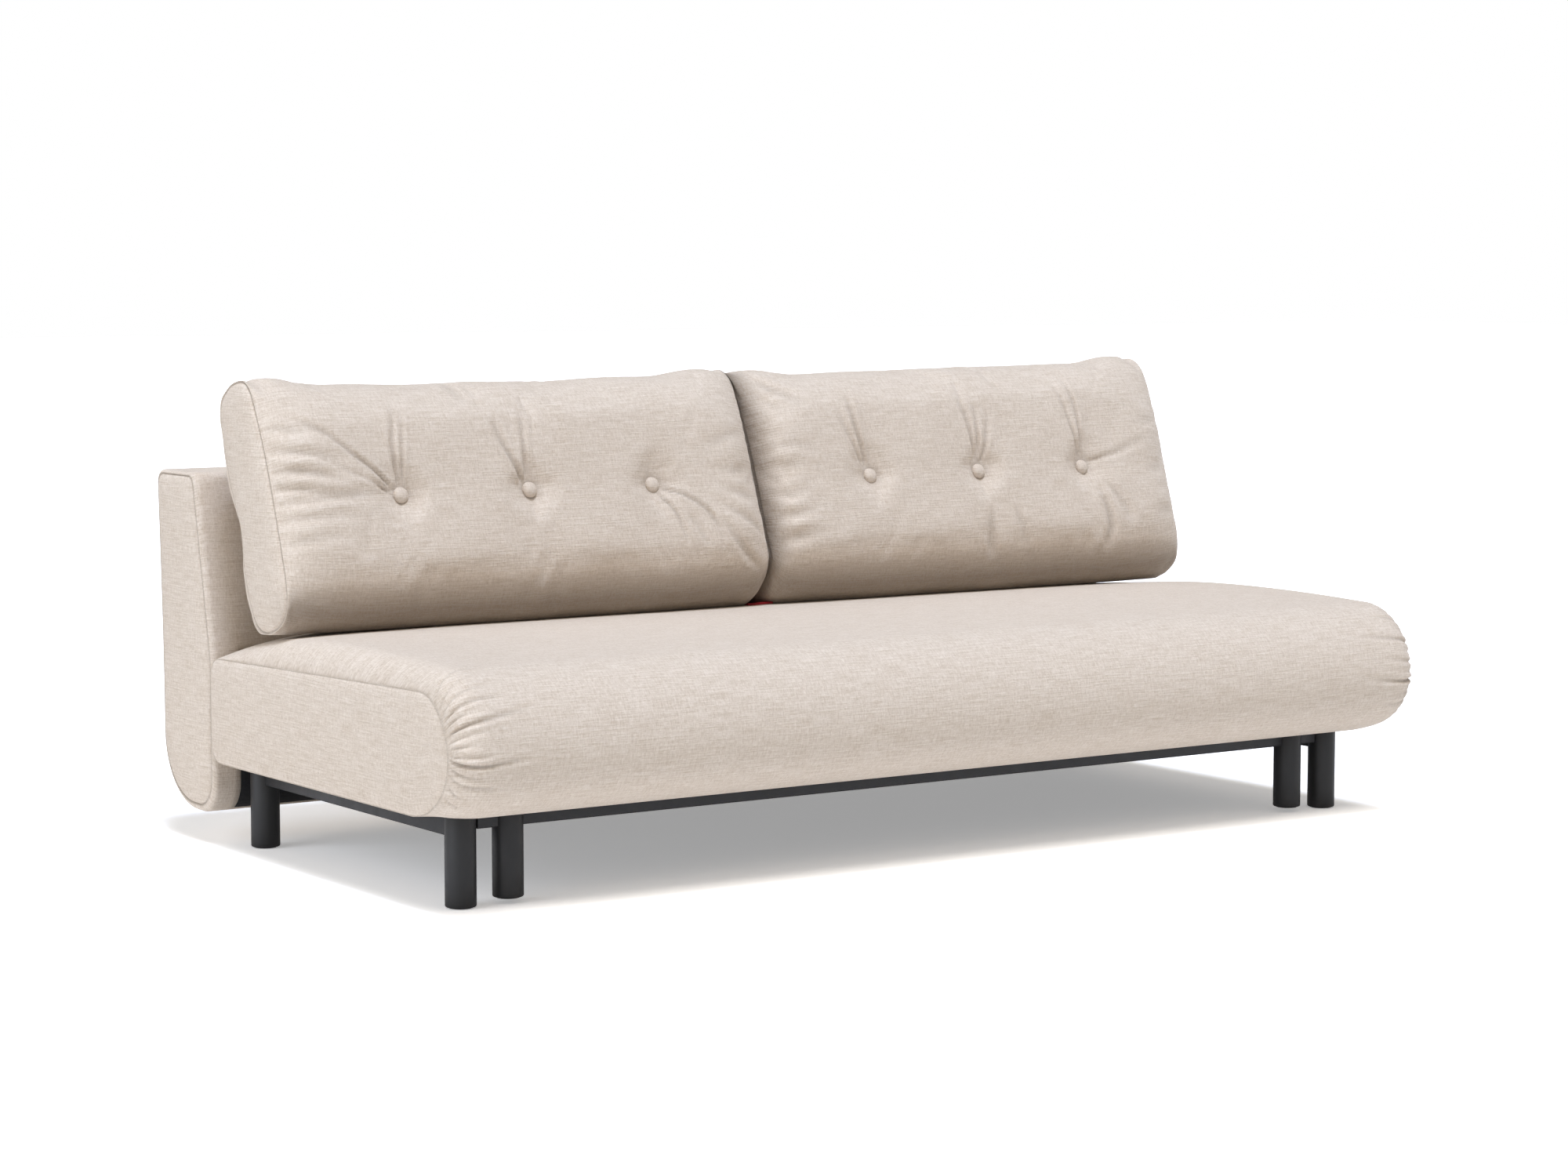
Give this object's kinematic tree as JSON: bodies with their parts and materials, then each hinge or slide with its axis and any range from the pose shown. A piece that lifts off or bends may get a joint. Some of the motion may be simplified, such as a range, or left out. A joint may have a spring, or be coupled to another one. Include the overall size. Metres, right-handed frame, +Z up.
{
  "type": "sofa bed",
  "caption": "Sofa bed with a rounded upholstered seat that slides out on a steel leg frame, a wedge backrest that folds forward flat behind it, and loose buttoned back cushions.",
  "frame": {"origin": "middle of the footprint at floor level, with the sofa closed", "axes": "+X along the sofa's length, +Z up; the front faces -Y and the backrest is towards +Y"},
  "size_m": [1.986, 1.1256, 0.806],
  "materials": {
    "fabric": "beige linen-look weave",
    "black_paint": "satin black powder coat",
    "lining": "black non-woven lining",
    "steel": "zinc plated",
    "felt": "dark felt",
    "nylon": "moulded black",
    "plywood": "raw plywood",
    "webbing": "red woven webbing"
  },
  "bodies": {
    "base": {"leg_front_left": "black_paint", "leg_glide_front_left": "felt", "leg_rear_left": "black_paint", "leg_glide_rear_left": "felt", "base_side_rail_left": "black_paint", "leg_front_right": "black_paint", "leg_glide_front_right": "felt", "leg_rear_right": "black_paint", "leg_glide_rear_right": "felt", "base_side_rail_right": "black_paint", "base_rear_rail": "black_paint", "slide_runner_left": "steel", "slide_runner_right": "steel", "bracket_bolt_left": "steel", "hinge_bracket_left": "steel", "hinge_pin_left": "steel", "bracket_bolt_right": "steel", "hinge_bracket_right": "steel", "hinge_pin_right": "steel"},
    "seat": {"carriage_front_rail": "black_paint", "carriage_leg_left": "black_paint", "carriage_glide_left": "felt", "carriage_side_rail_left": "black_paint", "slide_block_left": "nylon", "carriage_leg_right": "black_paint", "carriage_glide_right": "felt", "carriage_side_rail_right": "black_paint", "slide_block_right": "nylon", "carriage_rear_rail": "black_paint", "seat_mattress": "fabric", "seat_dust_cover": "lining", "seat_board_front": "plywood", "seat_board_rear": "plywood", "seat_board_left": "plywood", "seat_board_right": "plywood", "seat_slat_1": "plywood", "seat_slat_2": "plywood", "seat_slat_3": "plywood", "seat_slat_4": "plywood", "seat_slat_5": "plywood", "pull_strap": "webbing"},
    "backrest": {"backrest_upholstery": "fabric", "backrest_lining": "lining", "backrest_frame_rail_lower": "plywood", "backrest_frame_rail_upper": "plywood", "backrest_upright_end_left": "plywood", "backrest_upright_hinge_left": "plywood", "hinge_leaf_left": "steel", "backrest_upright_end_right": "plywood", "backrest_upright_hinge_right": "plywood", "hinge_leaf_right": "steel"},
    "cushion_left": {"button_left_1": "fabric", "button_left_2": "fabric", "button_left_3": "fabric", "back_cushion_left": "fabric"},
    "cushion_right": {"button_right_1": "fabric", "button_right_2": "fabric", "button_right_3": "fabric", "back_cushion_right": "fabric"}
  },
  "joints": [
    {"name": "seat_slide", "type": "slide", "parent": "base", "child": "seat", "axis": [0, -1, 0], "range_m": [0, 0.49]},
    {"name": "backrest_fold", "type": "hinge", "parent": "base", "child": "backrest", "pos_m": [0, 0.3618, 0.193], "axis": [1, 0, 0], "range_deg": [0, 92]},
    {"name": "cushion_tip_left", "type": "hinge", "parent": "seat", "child": "cushion_left", "pos_m": [-0.489, 0.0018, 0.3866], "axis": [1, 0, 0], "range_deg": [0, 109.6]},
    {"name": "cushion_tip_right", "type": "hinge", "parent": "seat", "child": "cushion_right", "pos_m": [0.489, 0.0018, 0.3866], "axis": [1, 0, 0], "range_deg": [0, 109.6]}
  ],
  "couplings": [
    {"joint": "backrest_fold", "follows": "seat_slide", "rad_per_m": 3.2769},
    {"joint": "cushion_tip_left", "follows": "seat_slide", "rad_per_m": 3.8995},
    {"joint": "cushion_tip_right", "follows": "seat_slide", "rad_per_m": 3.8995}
  ]
}
